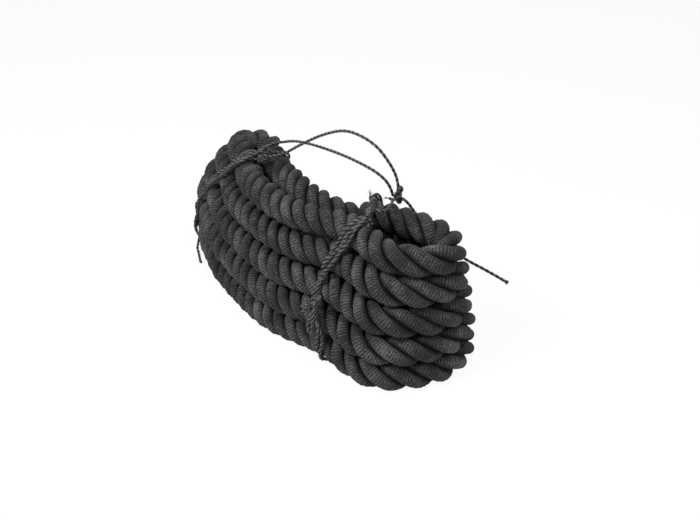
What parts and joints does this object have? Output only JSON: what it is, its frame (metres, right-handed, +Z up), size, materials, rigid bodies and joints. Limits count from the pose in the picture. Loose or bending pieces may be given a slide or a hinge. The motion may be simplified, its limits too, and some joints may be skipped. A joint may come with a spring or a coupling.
{
  "type": "battle rope",
  "caption": "Heavy laid exercise rope wound into a standing oblong hank, bound with twine at both ends and lifted by a loose twine loop.",
  "frame": {"origin": "centre of the footprint of the whole object, on the floor it stands on", "axes": "+X along the hank's length from the bound left bulbs to the right turns, -Y to the bulging front side seen in the picture, +Z up"},
  "size_m": [0.6339, 0.2536, 0.2937],
  "materials": {
    "rope": "matte",
    "twine": "matte",
    "sleeve": "satin"
  },
  "bodies": {
    "root": {"rope_hank": "rope", "first_end_sleeve": "sleeve", "last_end_sleeve": "sleeve", "left_binding": "twine", "left_knot": "twine", "left_tail": "twine", "right_binding": "twine", "right_knot": "twine", "front_knot": "twine", "front_tail": "twine", "carry_loop_upper": "twine", "carry_loop_lower": "twine", "carry_knot": "twine", "carry_link": "twine", "long_tail": "twine"}
  },
  "joints": []
}
